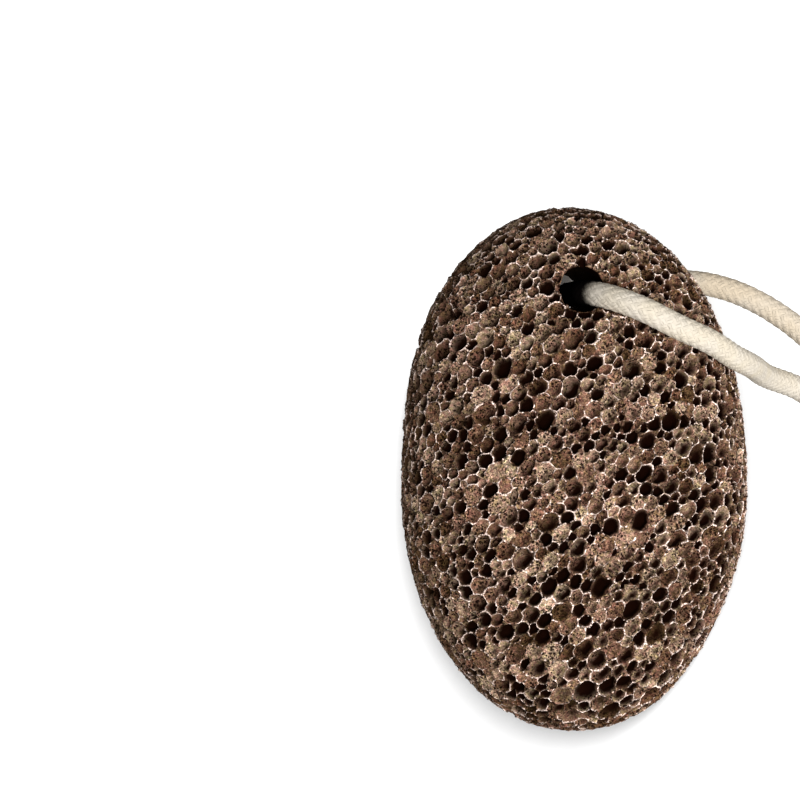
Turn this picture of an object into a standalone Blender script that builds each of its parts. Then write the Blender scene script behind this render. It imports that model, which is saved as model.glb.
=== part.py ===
"""An oval pumice stone on its cord, lying on its flat side.

The stone is one solid: an oval form covered in bubble pits, worn flat where it rests and drilled
near one end. A braided cord runs through the hole, and both its ends are tied in one overhand knot.

Metres, +Z up. The origin is under the middle of the stone, on the surface that it rests on. The
stone's long axis is Y, the hole is towards +Y, and the cord lies on the +X side.
"""

import math

import bmesh
import bpy
import numpy as np

# The stone's form.
STONE_LENGTH = 0.1054
STONE_WIDTH = 0.0708
TOP_RISE = 0.0215  # from the widest outline up to the top of the face
BOTTOM_DROP = 0.0210  # from the widest outline down to the underside, before it is worn flat
WORN_DEPTH = 0.0008  # how much of the underside is worn away to a flat
OUTLINE_FULLNESS = 2.08  # exponent of the oval seen from above: 2 is an ellipse
TOP_FULLNESS = 2.35  # exponent of the upper half's cross-section, a little flatter than an ellipse
BOTTOM_FULLNESS = 2.0
SWELL = 0.0006  # height of the form's broad, low unevenness, which fades out underneath
TOP_LEAN = 0.0022  # how far the end with the hole leans towards -X

# The bubble pits.
PIT_COUNT = 400
PIT_SIZE_SPREAD = 0.20  # spread of the logarithm of the pit sizes
PIT_SEED = 7
CLOSEST_PACKING = 0.96  # share of the surface that the pits' discs would cover
PIT_DEPTH = (0.50, 1.00)  # depth of a pit over its radius, from the shallowest to the deepest
PIT_FLOOR = 0.70  # size of a pit's floor over the size of its opening
SMOOTH_PATCH_RADIUS = 0.0060  # of the patch in the middle of the underside where no pit is left

# The drilled hole, upright through the stone.
HOLE_PLACE = (-0.0014, 0.0358)
HOLE_DIAMETER = 0.0092

# The cord.
CORD_DIAMETER = 0.0050
CORD_GAP = 0.0003  # left between touching pieces
CORD_STEP = 0.0050  # spacing of the points on the free run's tube
KNOT_STEP = 0.0010  # spacing of the points on the knot's tubes
CURVE_STEP = 0.00025  # spacing of the points that a smooth curve is read at
CORD_SIDES = 3  # the tube's bevel resolution, which gives ten sides
LAID = CORD_DIAMETER / 2 + 0.0001  # height of the cord's middle line where it lies on the surface

# The cord's route, in millimetres, as two strands that start from the middle of the hole. The front
# strand comes out on top, runs over the stone's shoulder and down its side. The back strand comes
# out underneath and runs out along the surface. The knot's own formula gives the rest.
FRONT_ROUTE = (
    (0.1, 35.5, 20.0),
    (0.6, 35.6, 25.0),
    (0.3, 35.4, 30.2),
    (1.5, 35.0, 34.9),
    (4.0, 34.2, 38.2),
    (7.1, 33.0, 40.1),
    (10.6, 31.5, 40.8),
    (15.6, 29.1, 40.3),
    (20.5, 27.0, 39.2),
    (24.9, 25.2, 37.1),
    (29.2, 23.1, 33.5),
    (33.3, 21.6, 28.8),
    (36.3, 20.8, 23.5),
    (38.8, 20.1, 18.0),
    (42.0, 19.0, 12.4),
    (46.3, 17.9, 7.9),
    (51.4, 16.2, 4.7),
    (55.4, 13.5, 3.2),
)
BACK_ROUTE = (
    (0.1, 35.5, 20.0),
    (0.1, 35.5, 17.0),
    (0.2, 35.6, 13.7),
    (1.6, 35.9, 8.5),
    (4.4, 36.5, 5.1),
    (8.2, 37.3, 3.2),
    (12.5, 38.0, 2.7),
    (18.5, 38.5, 2.6),
    (24.8, 38.8, 2.6),
    (29.8, 38.6, 2.6),
    (35.8, 37.4, 2.6),
    (42.2, 34.9, 2.6),
    (47.6, 31.8, 2.6),
    (52.6, 28.1, 2.6),
    (56.8, 23.8, 2.6),
    (60.5, 17.9, 2.6),
)

# The overhand knot, laid flat. Both strands enter it side by side along one straight line, run
# three half-turns round a ring, and leave along the same line as two short tails.
KNOT_PLACE = (0.0645, 0.0049)  # where the tails' line touches the ring
KNOT_HEADING = -85.0  # direction of that line, in degrees from +X
KNOT_RING = 0.0082  # radius of the ring
KNOT_TURN = 0.0037  # radius of the strands' turns round the ring
KNOT_LEAD = 0.007  # length of the straight run into the knot
LEAD_SLANT = 25.0  # angle between the run in and the tails' line, in degrees
STRANDS_APART = 0.0054
TAIL_LENGTH = 0.020
KNOT_VOXEL = 0.0007  # grid that the two strands are fused on
KNOT_FACES_KEPT = 0.06  # share of the grid's faces left after thinning

STONE_COLOUR = (0.155, 0.105, 0.075, 1.0)
CORD_COLOUR = (0.80, 0.75, 0.64, 1.0)


def clear_scene():
    """Removes every object from the open file."""
    for obj in list(bpy.data.objects):
        bpy.data.objects.remove(obj, do_unlink=True)


def make_material(name, colour, roughness):
    """A plain Principled material."""
    material = bpy.data.materials.new(name)
    material.use_nodes = True
    shader = material.node_tree.nodes["Principled BSDF"]
    shader.inputs["Base Color"].default_value = colour
    shader.inputs["Roughness"].default_value = roughness
    shader.inputs["Metallic"].default_value = 0.0
    return material


def link(obj, material=None):
    """Puts an object in the scene, with its material."""
    bpy.context.scene.collection.objects.link(obj)
    if material is not None:
        obj.data.materials.append(material)
    return obj


# ---------------------------------------------------------------- the stone


def on_form(points):
    """Moves points, given round the stone's middle, along their rays to its smooth convex form."""
    points = np.atleast_2d(points)
    rays = points / np.linalg.norm(points, axis=1, keepdims=True)
    x, y, z = np.abs(rays).T
    above = rays[:, 2] > 0
    fullness = np.where(above, TOP_FULLNESS, BOTTOM_FULLNESS)
    rise = np.where(above, TOP_RISE, BOTTOM_DROP)
    outline = (2 * x / STONE_WIDTH) ** OUTLINE_FULLNESS + (2 * y / STONE_LENGTH) ** OUTLINE_FULLNESS
    reach = (outline ** (fullness / OUTLINE_FULLNESS) + (z / rise) ** fullness) ** (-1 / fullness)
    return rays * reach[:, None]


def outward(points):
    """Unit normals of the smooth form at points on it, taken from two short steps across it."""
    across = np.cross(points, points[:, [1, 2, 0]] + 0.01)
    across /= np.linalg.norm(across, axis=1, keepdims=True)
    along = np.cross(points, across)
    along /= np.linalg.norm(along, axis=1, keepdims=True)
    step = 0.0002
    one = on_form(points + step * across) - on_form(points - step * across)
    two = on_form(points + step * along) - on_form(points - step * along)
    normals = np.cross(one, two)
    normals /= np.linalg.norm(normals, axis=1, keepdims=True)
    return normals * np.sign(np.sum(normals * points, axis=1, keepdims=True))


def settle(points):
    """Turns places on the form into places on the stone.

    It adds the broad unevenness and the lean of the end with the hole, which grows with the cube of
    the distance from the middle, and wears the underside flat on Z = 0.
    """
    x, y, z = (np.asarray(points) / STONE_WIDTH).T
    swell = np.sin(7 * x + 3 * y + 1) * np.cos(5 * y - 4 * z) + 0.6 * np.sin(9 * y + 6 * z + 4 * x)
    swell *= SWELL * (points[:, 2] + BOTTOM_DROP) / (TOP_RISE + BOTTOM_DROP)
    settled = points * (1 + swell / np.linalg.norm(points, axis=1))[:, None]
    settled[:, 0] -= TOP_LEAN * np.maximum(2 * points[:, 1] / STONE_LENGTH, 0.0) ** 3
    settled[:, 2] = np.maximum(settled[:, 2] + BOTTOM_DROP - WORN_DEPTH, 0.0)
    return settled


def pit_sites():
    """Spreads the pits' middles over the form, each pushing its neighbours out of its disc.

    The first site isn't a pit's: it keeps the smooth patch's place in the middle of the underside.
    """
    rng = np.random.default_rng(PIT_SEED)
    half = (STONE_LENGTH / 2, STONE_WIDTH / 2, (TOP_RISE + BOTTOM_DROP) / 2)
    power = 1.6075  # Thomsen's exponent for an ellipsoid's area
    faces = [(half[i] * half[j]) ** power for i, j in ((0, 1), (0, 2), (1, 2))]
    area = 4 * math.pi * (sum(faces) / 3) ** (1 / power)
    radii = np.exp(PIT_SIZE_SPREAD * np.clip(rng.standard_normal(PIT_COUNT), -2.2, 2.2))
    radii *= math.sqrt(CLOSEST_PACKING * area / (math.pi * np.sum(radii**2)))
    radii[0] = SMOOTH_PATCH_RADIUS
    sites = on_form(rng.standard_normal((PIT_COUNT, 3)) / [1.6, 1.0, 2.4])
    for _ in range(260):
        apart = sites[:, None, :] - sites[None, :, :]
        distance = np.linalg.norm(apart, axis=2) + np.eye(PIT_COUNT)
        overlap = np.maximum(radii[:, None] + radii[None, :] - distance, 0.0)
        np.fill_diagonal(overlap, 0.0)
        push = np.sum(apart * (overlap / distance)[:, :, None], axis=1)
        sites = on_form(sites + 0.35 * push)
        sites[0] = 0.0, 0.0, -BOTTOM_DROP
    return sites, radii


def joined_sites(sites):
    """A triangle mesh with a vertex at each site: their convex hull, its edges turned for shape."""
    mesh = bmesh.new()
    for site in sites:
        mesh.verts.new(site)
    bmesh.ops.convex_hull(mesh, input=mesh.verts)
    bmesh.ops.triangulate(mesh, faces=mesh.faces)
    bmesh.ops.beautify_fill(mesh, faces=mesh.faces, edges=mesh.edges)
    bmesh.ops.recalc_face_normals(mesh, faces=mesh.faces)
    mesh.verts.index_update()
    mesh.faces.index_update()
    return mesh


def faces_around(vert):
    """The indices of a vertex's faces, in order, anticlockwise seen from outside."""
    first = vert.link_loops[0]
    found = []
    loop = first
    while not found or loop != first:
        found.append(loop.face.index)
        loop = loop.link_loop_prev.link_loop_radial_next
    return found


def pitted_mesh():
    """The stone's mesh: a rim where three pits meet, and in each pit a wall, a floor and its middle.

    The rims are the corners of the cells round the sites. A pit's floor is its outline drawn in to
    PIT_FLOOR of its size, rounded halfway to a circle and sunk along the form's normal.
    """
    sites, radii = pit_sites()
    joined = joined_sites(sites)
    corners = np.empty((len(joined.faces), 3))
    for face in joined.faces:
        index = [vert.index for vert in face.verts]
        weight = 1 / radii[index]
        corners[face.index] = weight @ sites[index] / weight.sum()
    corners = on_form(corners)
    rings = [faces_around(vert) for vert in joined.verts]
    joined.free()

    rng = np.random.default_rng(PIT_SEED + 1)
    depth = radii * rng.uniform(*PIT_DEPTH, PIT_COUNT)
    normals = outward(sites)
    rims = settle(corners)
    rims[:, :2] -= (rims[:, :2].min(axis=0) + rims[:, :2].max(axis=0)) / 2
    points = list(rims)
    faces = [rings[0]]
    for ring, depth_here, normal in zip(rings[1:], depth[1:], normals[1:]):
        rim = rims[ring]
        middle = rim.mean(axis=0)
        arms = rim - middle
        reach = np.linalg.norm(arms, axis=1, keepdims=True)
        floor_reach = PIT_FLOOR * (reach + reach.mean()) / 2
        floor = middle + arms / reach * floor_reach - 0.8 * depth_here * normal
        start = len(points)
        points.extend(floor)
        points.append(middle - depth_here * normal)
        count = len(ring)
        for i in range(count):
            j = (i + 1) % count
            faces.append((ring[i], ring[j], start + j, start + i))
            faces.append((start + i, start + j, start + count))
    mesh = bpy.data.meshes.new("stone")
    mesh.from_pydata([tuple(point) for point in points], [], faces)
    mesh.validate()
    return mesh


def make_cutter(name, mesh):
    """A hidden guide solid that a Boolean cuts with."""
    cutter = link(bpy.data.objects.new(name, mesh))
    cutter.hide_render = True
    cutter.display_type = "WIRE"
    return cutter


def drill_mesh():
    """The round cutter of the hole, longer than the stone is thick."""
    mesh = bmesh.new()
    bmesh.ops.create_cone(
        mesh,
        cap_ends=True,
        segments=24,
        radius1=HOLE_DIAMETER / 2,
        radius2=HOLE_DIAMETER / 2,
        depth=2 * STONE_WIDTH,
    )
    bmesh.ops.translate(mesh, verts=mesh.verts, vec=(*HOLE_PLACE, 0.0))
    data = bpy.data.meshes.new("hole_cutter")
    mesh.to_mesh(data)
    mesh.free()
    return data


def make_stone(cord_line):
    """The pitted stone, drilled, and worn to a shallow groove wherever the cord presses on it."""
    stone = link(
        bpy.data.objects.new("stone", pitted_mesh()), make_material("lava", STONE_COLOUR, 0.95)
    )
    groove = tube_mesh("groove_cutter", [cord_line], CORD_DIAMETER / 2 + CORD_GAP)
    for cutter in (make_cutter("hole_cutter", drill_mesh()), make_cutter("groove_cutter", groove)):
        cut = stone.modifiers.new(cutter.name, "BOOLEAN")
        cut.operation = "DIFFERENCE"
        cut.solver = "EXACT"
        cut.object = cutter
    return stone


# ---------------------------------------------------------------- the cord


def smooth_curve(points):
    """A natural cubic spline through the points, read every CURVE_STEP along its length.

    Between two points the curve is a cubic in the distance along the chords, and its second
    derivatives come from one linear system that makes it smooth at every point.
    """
    points = np.asarray(points, dtype=float)
    gaps = np.linalg.norm(np.diff(points, axis=0), axis=1)
    knots = np.concatenate([[0.0], np.cumsum(gaps)])
    count = len(points)
    system = np.eye(count)
    right = np.zeros((count, 3))
    slopes = np.diff(points, axis=0) / gaps[:, None]
    for i in range(1, count - 1):
        system[i, i - 1 : i + 2] = gaps[i - 1], 2 * (gaps[i - 1] + gaps[i]), gaps[i]
        right[i] = 6 * (slopes[i] - slopes[i - 1])
    bends = np.linalg.solve(system, right)
    places = np.linspace(0.0, knots[-1], 2 * int(knots[-1] / CURVE_STEP))
    left = np.clip(np.searchsorted(knots, places, side="right") - 1, 0, count - 2)
    gap = gaps[left][:, None]
    after = places[:, None] - knots[left][:, None]
    before = gap - after
    fine = (
        (bends[left] * before**3 + bends[left + 1] * after**3) / (6 * gap)
        + (points[left] / gap - bends[left] * gap / 6) * before
        + (points[left + 1] / gap - bends[left + 1] * gap / 6) * after
    )
    return evenly(fine, CURVE_STEP)


def evenly(line, step):
    """The same line with its points an even distance apart, as near to step as its length allows."""
    run = np.concatenate([[0.0], np.cumsum(np.linalg.norm(np.diff(line, axis=0), axis=1))])
    places = np.linspace(0.0, run[-1], max(2, round(run[-1] / step) + 1))
    return np.stack([np.interp(places, run, line[:, i]) for i in range(3)], axis=1)


def knot_strand(side):
    """One strand of the overhand knot, side -1 for the front strand and +1 for the back one.

    With t from 0 to a full turn, the pair's middle line is at the angle 2t round the ring and at
    the distance ring + turn * cos(3t) from its centre, and its height is -turn * sin(3t), held at
    its lowest on the way in and at its highest on the way out. A strand lies half of STRANDS_APART
    to one side, along the surface of the ring.
    """
    heading = math.radians(KNOT_HEADING)
    ahead = np.array([math.cos(heading), math.sin(heading), 0.0])
    outside = np.array([ahead[1], -ahead[0], 0.0])
    up = np.array([0.0, 0.0, 1.0])
    centre = np.array([*KNOT_PLACE, LAID + KNOT_TURN]) - (KNOT_RING + KNOT_TURN) * outside

    t = np.linspace(0.0, 2 * math.pi, 61)[:, None]
    held = np.clip(3 * t, math.pi / 2, 5.5 * math.pi)
    spoke = outside * np.cos(2 * t) + ahead * np.sin(2 * t)
    line = centre + (KNOT_RING + KNOT_TURN * np.cos(3 * t)) * spoke - KNOT_TURN * np.sin(held) * up
    along = np.gradient(line, axis=0)
    along /= np.linalg.norm(along, axis=1, keepdims=True)
    away = np.cos(held) * spoke - np.sin(held) * up
    across = np.cross(away, along)
    across /= np.linalg.norm(across, axis=1, keepdims=True)
    turns = line - side * STRANDS_APART / 2 * across
    turns[:, 2] = np.maximum(turns[:, 2], LAID)

    place = np.array([*KNOT_PLACE, 0.0])
    slant = math.radians(LEAD_SLANT)
    inward = math.cos(slant) * ahead - math.sin(slant) * outside
    beside = math.cos(slant) * outside + math.sin(slant) * ahead
    lead = place + np.outer((-KNOT_LEAD, -KNOT_LEAD / 2), inward)
    lead += LAID * up - side * STRANDS_APART / 2 * beside
    drop = np.array([0.30, 0.55, 0.80, 1.00])
    height = np.array([7.6, 3.9, 2.6, 2.6]) / 1000
    splay = STRANDS_APART / 2 * (1 + 0.25 * drop)
    tail = place + np.outer(drop * TAIL_LENGTH, ahead) + np.outer(height, up)
    tail += side * np.outer(splay, outside)
    return np.concatenate([lead, turns[3:-2:3], tail])


def strand(route, side):
    """One strand's whole middle line, and the index on it where the knot begins."""
    knot = knot_strand(side)
    line = smooth_curve(np.concatenate([np.array(route) / 1000, knot]))
    line[:, 2] = np.maximum(line[:, 2], LAID)
    start = int(np.argmin(np.linalg.norm(line - knot[0], axis=1)))
    return line, start


def tube_curve(name, lines, radius):
    """A curve object: a round tube with closed ends along each of the lines."""
    curve = bpy.data.curves.new(name, "CURVE")
    curve.dimensions = "3D"
    curve.bevel_depth = radius
    curve.bevel_resolution = CORD_SIDES
    curve.use_fill_caps = True
    for line in lines:
        spline = curve.splines.new("POLY")
        spline.points.add(len(line) - 1)
        spline.points.foreach_set("co", np.column_stack([line, np.ones(len(line))]).ravel())
    return bpy.data.objects.new(name, curve)


def tube_mesh(name, lines, radius):
    """The same tubes as a mesh."""
    guide = link(tube_curve(name, lines, radius))
    bpy.context.view_layer.update()
    mesh = bpy.data.meshes.new_from_object(guide.evaluated_get(bpy.context.evaluated_depsgraph_get()))
    curve = guide.data
    bpy.data.objects.remove(guide)
    bpy.data.curves.remove(curve)
    mesh.name = name
    return mesh


def make_cord(cord_line, material):
    """The free run of the cord: one tube from the knot, through the stone and back to the knot."""
    return link(tube_curve("cord", [cord_line], CORD_DIAMETER / 2), material)


def make_knot(strands, material):
    """The knot and its tails: the two strands' tubes, fused into one solid."""
    skip = round(2 * CORD_GAP / CURVE_STEP)
    lines = [evenly(line[start + skip :], KNOT_STEP) for line, start in strands]
    knot = link(bpy.data.objects.new("knot", tube_mesh("knot", lines, CORD_DIAMETER / 2)), material)
    fuse = knot.modifiers.new("fuse", "REMESH")
    fuse.mode = "VOXEL"
    fuse.voxel_size = KNOT_VOXEL
    thin = knot.modifiers.new("thin", "DECIMATE")
    thin.ratio = KNOT_FACES_KEPT
    return knot


def main():
    clear_scene()
    cotton = make_material("cotton", CORD_COLOUR, 0.9)
    front = strand(FRONT_ROUTE, -1)
    back = strand(BACK_ROUTE, 1)
    whole = np.concatenate([back[0][back[1] : 0 : -1], front[0][: front[1] + 1]])
    cord_line = evenly(whole, CORD_STEP)
    make_stone(cord_line)
    make_cord(cord_line, cotton)
    make_knot([front, back], cotton)


main()
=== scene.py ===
"""The looks of an oval pumice stone on a knotted cotton cord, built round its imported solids.

Run as a script, it puts a finely pitted stone, a braided cord and its knot in place of the plain
solids, and adds the camera, the floor and the lights. Lengths are metres and +Z is up. The stone's
long axis is Y, its drilled hole is towards +Y, and the cord lies on the +X side.
"""

import math
import types

import bmesh
import bpy
import numpy as np
from bpy.props import FloatProperty, FloatVectorProperty, IntProperty, PointerProperty
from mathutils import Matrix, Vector


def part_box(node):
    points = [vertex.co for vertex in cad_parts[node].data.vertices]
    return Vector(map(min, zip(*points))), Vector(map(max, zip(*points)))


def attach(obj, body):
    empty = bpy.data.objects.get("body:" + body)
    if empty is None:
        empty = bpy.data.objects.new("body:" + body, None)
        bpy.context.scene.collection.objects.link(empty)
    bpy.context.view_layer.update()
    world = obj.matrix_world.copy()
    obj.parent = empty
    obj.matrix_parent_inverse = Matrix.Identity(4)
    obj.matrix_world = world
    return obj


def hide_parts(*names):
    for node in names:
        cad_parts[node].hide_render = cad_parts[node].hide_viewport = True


bl_info = {
    "name": "Pumice Stone Looks",
    "version": (1, 0, 0),
    "blender": (4, 5, 0),
    "location": "3D View > Sidebar > Pumice Stone",
    "description": "Dresses the solids of a pumice stone on a cord, and sets up its studio",
    "category": "Object",
}

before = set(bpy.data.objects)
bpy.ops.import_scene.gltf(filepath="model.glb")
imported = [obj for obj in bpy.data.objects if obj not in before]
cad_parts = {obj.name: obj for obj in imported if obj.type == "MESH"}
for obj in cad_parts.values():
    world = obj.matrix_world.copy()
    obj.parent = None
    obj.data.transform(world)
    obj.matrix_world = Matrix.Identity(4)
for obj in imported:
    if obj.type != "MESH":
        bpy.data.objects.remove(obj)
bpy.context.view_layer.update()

# The stone's form, as its solid has it.
STONE_LENGTH = 0.1054
STONE_WIDTH = 0.0708
TOP_RISE = 0.0215  # from the widest outline up to the top of the face
BOTTOM_DROP = 0.0210  # from the widest outline down to the underside, before it is worn flat
WORN_DEPTH = 0.0008
OUTLINE_FULLNESS = 2.08  # exponent of the oval seen from above: 2 is an ellipse
TOP_FULLNESS = 2.35
BOTTOM_FULLNESS = 2.0
SWELL = 0.0006  # height of the form's broad, low unevenness
TOP_LEAN = 0.0022  # how far the end with the hole leans towards -X
STONE_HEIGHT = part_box("stone")[1].z

# The pits that bubbles left in the lava. A pair is where a thing begins and where it is whole.
GRAIN_HEADING = 48.0  # degrees from +X, the way that the pits are drawn out
LEAN_WAY = np.array([0.75, -0.65, 0.0])  # the way that they lean as they go down
UNDERSIDE = (-0.002, -0.010)  # height on the form
SMALL_END = (0.015, 0.042)  # Y of the pits that are smaller round the hole
SMALL_PIT = (0.0012, 0.0009)  # mean radius of a pit that is deep more often
LARGE_PIT = (0.0014, 0.0019)  # and of one that is deep less often
DEEP_RATIO = (1.1, 1.8)  # depth as a share of the size, from the least to the most
PLAIN_RATIO = (0.55, 1.15)
SHALLOW_RATIO = (0.06, 0.28)
STEEP_PIT = (0.35, 1.1)  # depth as a share of the size
FULL_DEPTH = 1.3  # depth as a share of the size, where a pit's painted shade is at its darkest
DEEPEST_PIT = 0.0028
LEAST_SINK = 0.00003  # how far a ring lies under the one outside it, at least
FLOOR_WANDER = 0.07  # how far a pit's floor lies aside at random, as a share of its size
RING_WANDER = 0.035  # unevenness of a ring's width
DEPTH_WANDER = 0.05  # unevenness of its depth
RINGS = (
    # size within the lip, roundness, depth share in a saucer and in a hole, share of the lean
    (1.00, 0.00, 0.03, 0.05, 0.00),
    (0.86, 0.35, 0.34, 0.48, 0.15),
    (0.64, 0.70, 0.72, 0.82, 0.60),
    (0.34, 0.95, 0.96, 0.98, 0.95),
)

# The crests between the pits. A drop is how far a point of the crest lies under its place.
CORNER_DROP = (-0.00022, 0.00020)  # from the least to the most
DIMPLE_DROP = (0.00025, 0.00070)
EDGE_DROP = (-0.00006, 0.00020)
BROKEN_DROP = (0.3, 0.8)  # as a share of the shallower pit's depth
CREST_SHADED = (0.0001, 0.0005)  # drop from which a crest gets painted shade
CREST_WORN = (0.00010, 0.00035)  # drop from which it has none of the pale dust
LIP_WORN = (0.0001, 0.0004)  # the same for the lip beside it
LIP_DUST = 0.75  # how pale the lips are beside the crests

# The drilled hole, upright through the stone, and the groove that the cord has worn beside it.
HOLE_PLACE = (-0.0014, 0.0358)
HOLE_DIAMETER = 0.0092
HOLE_SIDES = 40
HOLE_RINGS = 60
HOLE_ROUGHNESS = 0.00005
HOLE_SEED = 5
CUTTER_OVERRUN = 0.01  # past the stone's top and bottom
HOLE_WALL = (0.0006, 0.0002)  # distance outside the drilled radius where the painted shade on its wall begins
HOLE_DARK = (0.0008, 0.0030)  # distance in from the mouth where the painted shade darkens it
MOUTH_HEIGHT = 0.88 * STONE_HEIGHT  # about where the hole opens in the face
GROOVE_REACH = 0.100  # of the cord, each way from the middle of the hole
GROOVE_STEP = 0.0015
GROOVE_SIDES = 20

# The cord. Its routes are the solid's, in metres, as two strands from the middle of the hole.
CORD_DIAMETER = 0.0050
CORD_GAP = 0.0003
LAID = CORD_DIAMETER / 2 + 0.0001  # height of the cord's middle line where it lies flat
CURVE_STEP = 0.00025
FREE_SIDES = 96  # of the tube that a free strand is
TIED_SIDES = 64  # of the tube that a strand in the knot is
FRONT_ROUTE = (
    (0.0001, 0.0355, 0.0200),
    (0.0006, 0.0356, 0.0250),
    (0.0003, 0.0354, 0.0302),
    (0.0015, 0.0350, 0.0349),
    (0.0040, 0.0342, 0.0382),
    (0.0071, 0.0330, 0.0401),
    (0.0106, 0.0315, 0.0408),
    (0.0156, 0.0291, 0.0403),
    (0.0205, 0.0270, 0.0392),
    (0.0249, 0.0252, 0.0371),
    (0.0292, 0.0231, 0.0335),
    (0.0333, 0.0216, 0.0288),
    (0.0363, 0.0208, 0.0235),
    (0.0388, 0.0201, 0.0180),
    (0.0420, 0.0190, 0.0124),
    (0.0463, 0.0179, 0.0079),
    (0.0514, 0.0162, 0.0047),
    (0.0554, 0.0135, 0.0032),
)
BACK_ROUTE = (
    (0.0001, 0.0355, 0.0200),
    (0.0001, 0.0355, 0.0170),
    (0.0002, 0.0356, 0.0137),
    (0.0016, 0.0359, 0.0085),
    (0.0044, 0.0365, 0.0051),
    (0.0082, 0.0373, 0.0032),
    (0.0125, 0.0380, 0.0027),
    (0.0185, 0.0385, 0.0026),
    (0.0248, 0.0388, 0.0026),
    (0.0298, 0.0386, 0.0026),
    (0.0358, 0.0374, 0.0026),
    (0.0422, 0.0349, 0.0026),
    (0.0476, 0.0318, 0.0026),
    (0.0526, 0.0281, 0.0026),
    (0.0568, 0.0238, 0.0026),
    (0.0605, 0.0179, 0.0026),
)
HOLE_TOP = (0.0036, 0.0344, 0.0379)  # where the front strand leaves the stone
HOLE_BOTTOM = (0.0038, 0.0364, 0.0055)  # where the back strand leaves it

# The overhand knot, as its solid has it.
KNOT_PLACE = (0.0645, 0.0049)
KNOT_HEADING = -85.0  # degrees from +X
KNOT_RING = 0.0082
KNOT_TURN = 0.0037
KNOT_LEAD = 0.007
LEAD_SLANT = 25.0  # degrees
STRANDS_APART = 0.0054
TAIL_LENGTH = 0.020
TAIL_SHARES = np.array([0.30, 0.55, 0.80, 1.00])  # of its length, at four points along it
TAIL_HEIGHTS = (0.0076, 0.0039, 0.0026, 0.0026)  # of those points
TAIL_SPLAY = 0.25  # how much farther apart the tails are at their ends

# The braid, and the yarns of the tufts at its cut ends.
STRAND_BACK = 0.7  # exponent of the half sine across a strand: the smaller, the flatter its back
STRAND_SINK = 0.45  # how much of its height a strand loses where it goes under
YARN_RINGS = 7
YARN_SIDES = 5
YARN_ROOT = 0.001  # length inside the cord
YARN_SPREAD = 0.42  # of the yarns over the cord's section, as a share of its diameter
YARN_LENGTHS = (0.6, 1.0)  # as a share of the tuft's length
YARN_TAPER = 0.75  # how much thinner a yarn is at its end
YARN_TIP = 0.0002  # length of its point
YARN_LOWEST = 0.0004  # height of its middle line, at least

# The camera, which looks down on the stone from a little to its left.
CAMERA_AIM = (0.0, 0.0, 0.0205)
CAMERA_DISTANCE = 0.6081
CAMERA_TILT = 7.7  # degrees towards -X
CAMERA_AIM_PIXEL = (574.0, 469.0)
FRAME_SIDE = 800.0  # pixels
LENS = 135.0  # millimetres
SENSOR = 36.0

# The studio's lights: two that pass over the floor, and one that lights nothing else.
LIGHTS = (
    # name, place, two sides, and what it does with the floor
    ("key_light", (-0.03, -0.16, 0.92), (0.50, 0.50), "EXCLUDE"),
    ("right_light", (0.55, -0.22, 0.60), (0.35, 0.35), "EXCLUDE"),
    ("floor_light", (-0.33, 0.25, 1.85), (1.15, 0.18), "INCLUDE"),
)
LIGHTS_AIM = (0.0, 0.0, 0.02)


# ---------------------------------------------------------------- small tools


def unit(vectors):
    """Each row scaled to length 1."""
    return vectors / np.linalg.norm(vectors, axis=-1, keepdims=True)


def level_way(degrees):
    """A level direction, turned from +X."""
    heading = math.radians(degrees)
    return np.array([math.cos(heading), math.sin(heading), 0.0])


def eased(values, low, high):
    """0 up to low and 1 from high on, which may be the smaller, with a smooth step between."""
    t = np.clip((values - low) / (high - low), 0.0, 1.0)
    return t * t * (3 - 2 * t)


def new_mesh(name, points, *face_arrays):
    """A smooth mesh from an array of points and arrays of faces with one corner count each."""
    mesh = bpy.data.meshes.new(name)
    corners = np.concatenate([faces.ravel() for faces in face_arrays])
    sizes = np.concatenate([np.full(len(faces), faces.shape[1]) for faces in face_arrays])
    mesh.vertices.add(len(points))
    mesh.vertices.foreach_set("co", points.astype(np.float32).ravel())
    mesh.loops.add(len(corners))
    mesh.loops.foreach_set("vertex_index", corners.astype(np.int32))
    mesh.polygons.add(len(sizes))
    starts = np.concatenate([[0], np.cumsum(sizes)[:-1]])
    mesh.polygons.foreach_set("loop_start", starts.astype(np.int32))
    mesh.update(calc_edges=True)
    mesh.shade_smooth()
    return mesh


def read(items, name, width=1, kind=np.float32):
    """One property of each item, as a row of width numbers."""
    values = np.empty(width * len(items), kind)
    items.foreach_get(name, values)
    return values.reshape(-1, width)


def set_attribute(mesh, name, values):
    """Stores one number for each vertex."""
    layer = mesh.attributes.get(name) or mesh.attributes.new(name, "FLOAT", "POINT")
    layer.data.foreach_set("value", values.astype(np.float32))


def add_object(name, data):
    """Puts an object in the scene, in place of any that has its name."""
    old = bpy.data.objects.get(name)
    if old is not None:
        bpy.data.objects.remove(old)
    added = bpy.data.objects.new(name, data)
    bpy.context.scene.collection.objects.link(added)
    return added


def add_piece(name, mesh, material, slot, *nodes):
    """Adds a piece that rides on the object's one body and stands for CAD nodes."""
    piece = add_object(name + "_looks", mesh)
    mesh.materials.clear()
    mesh.materials.append(material)
    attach(piece, "root")
    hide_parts(*nodes)
    return piece


# ---------------------------------------------------------------- materials


# The sockets of a Mix node that mixes colours.
MIX_SHARE, MIX_FIRST, MIX_SECOND, MIX_RESULT = 0, 6, 7, 2


def math_node(operation, turned_round=False):
    """A method that feeds its value and its arguments to a Math node, or the arguments first."""

    def method(self, *others):
        terms = (*others, self) if turned_round else (self, *others)
        return self.graph.node("ShaderNodeMath", {"operation": operation}, dict(enumerate(terms)))

    return method


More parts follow.
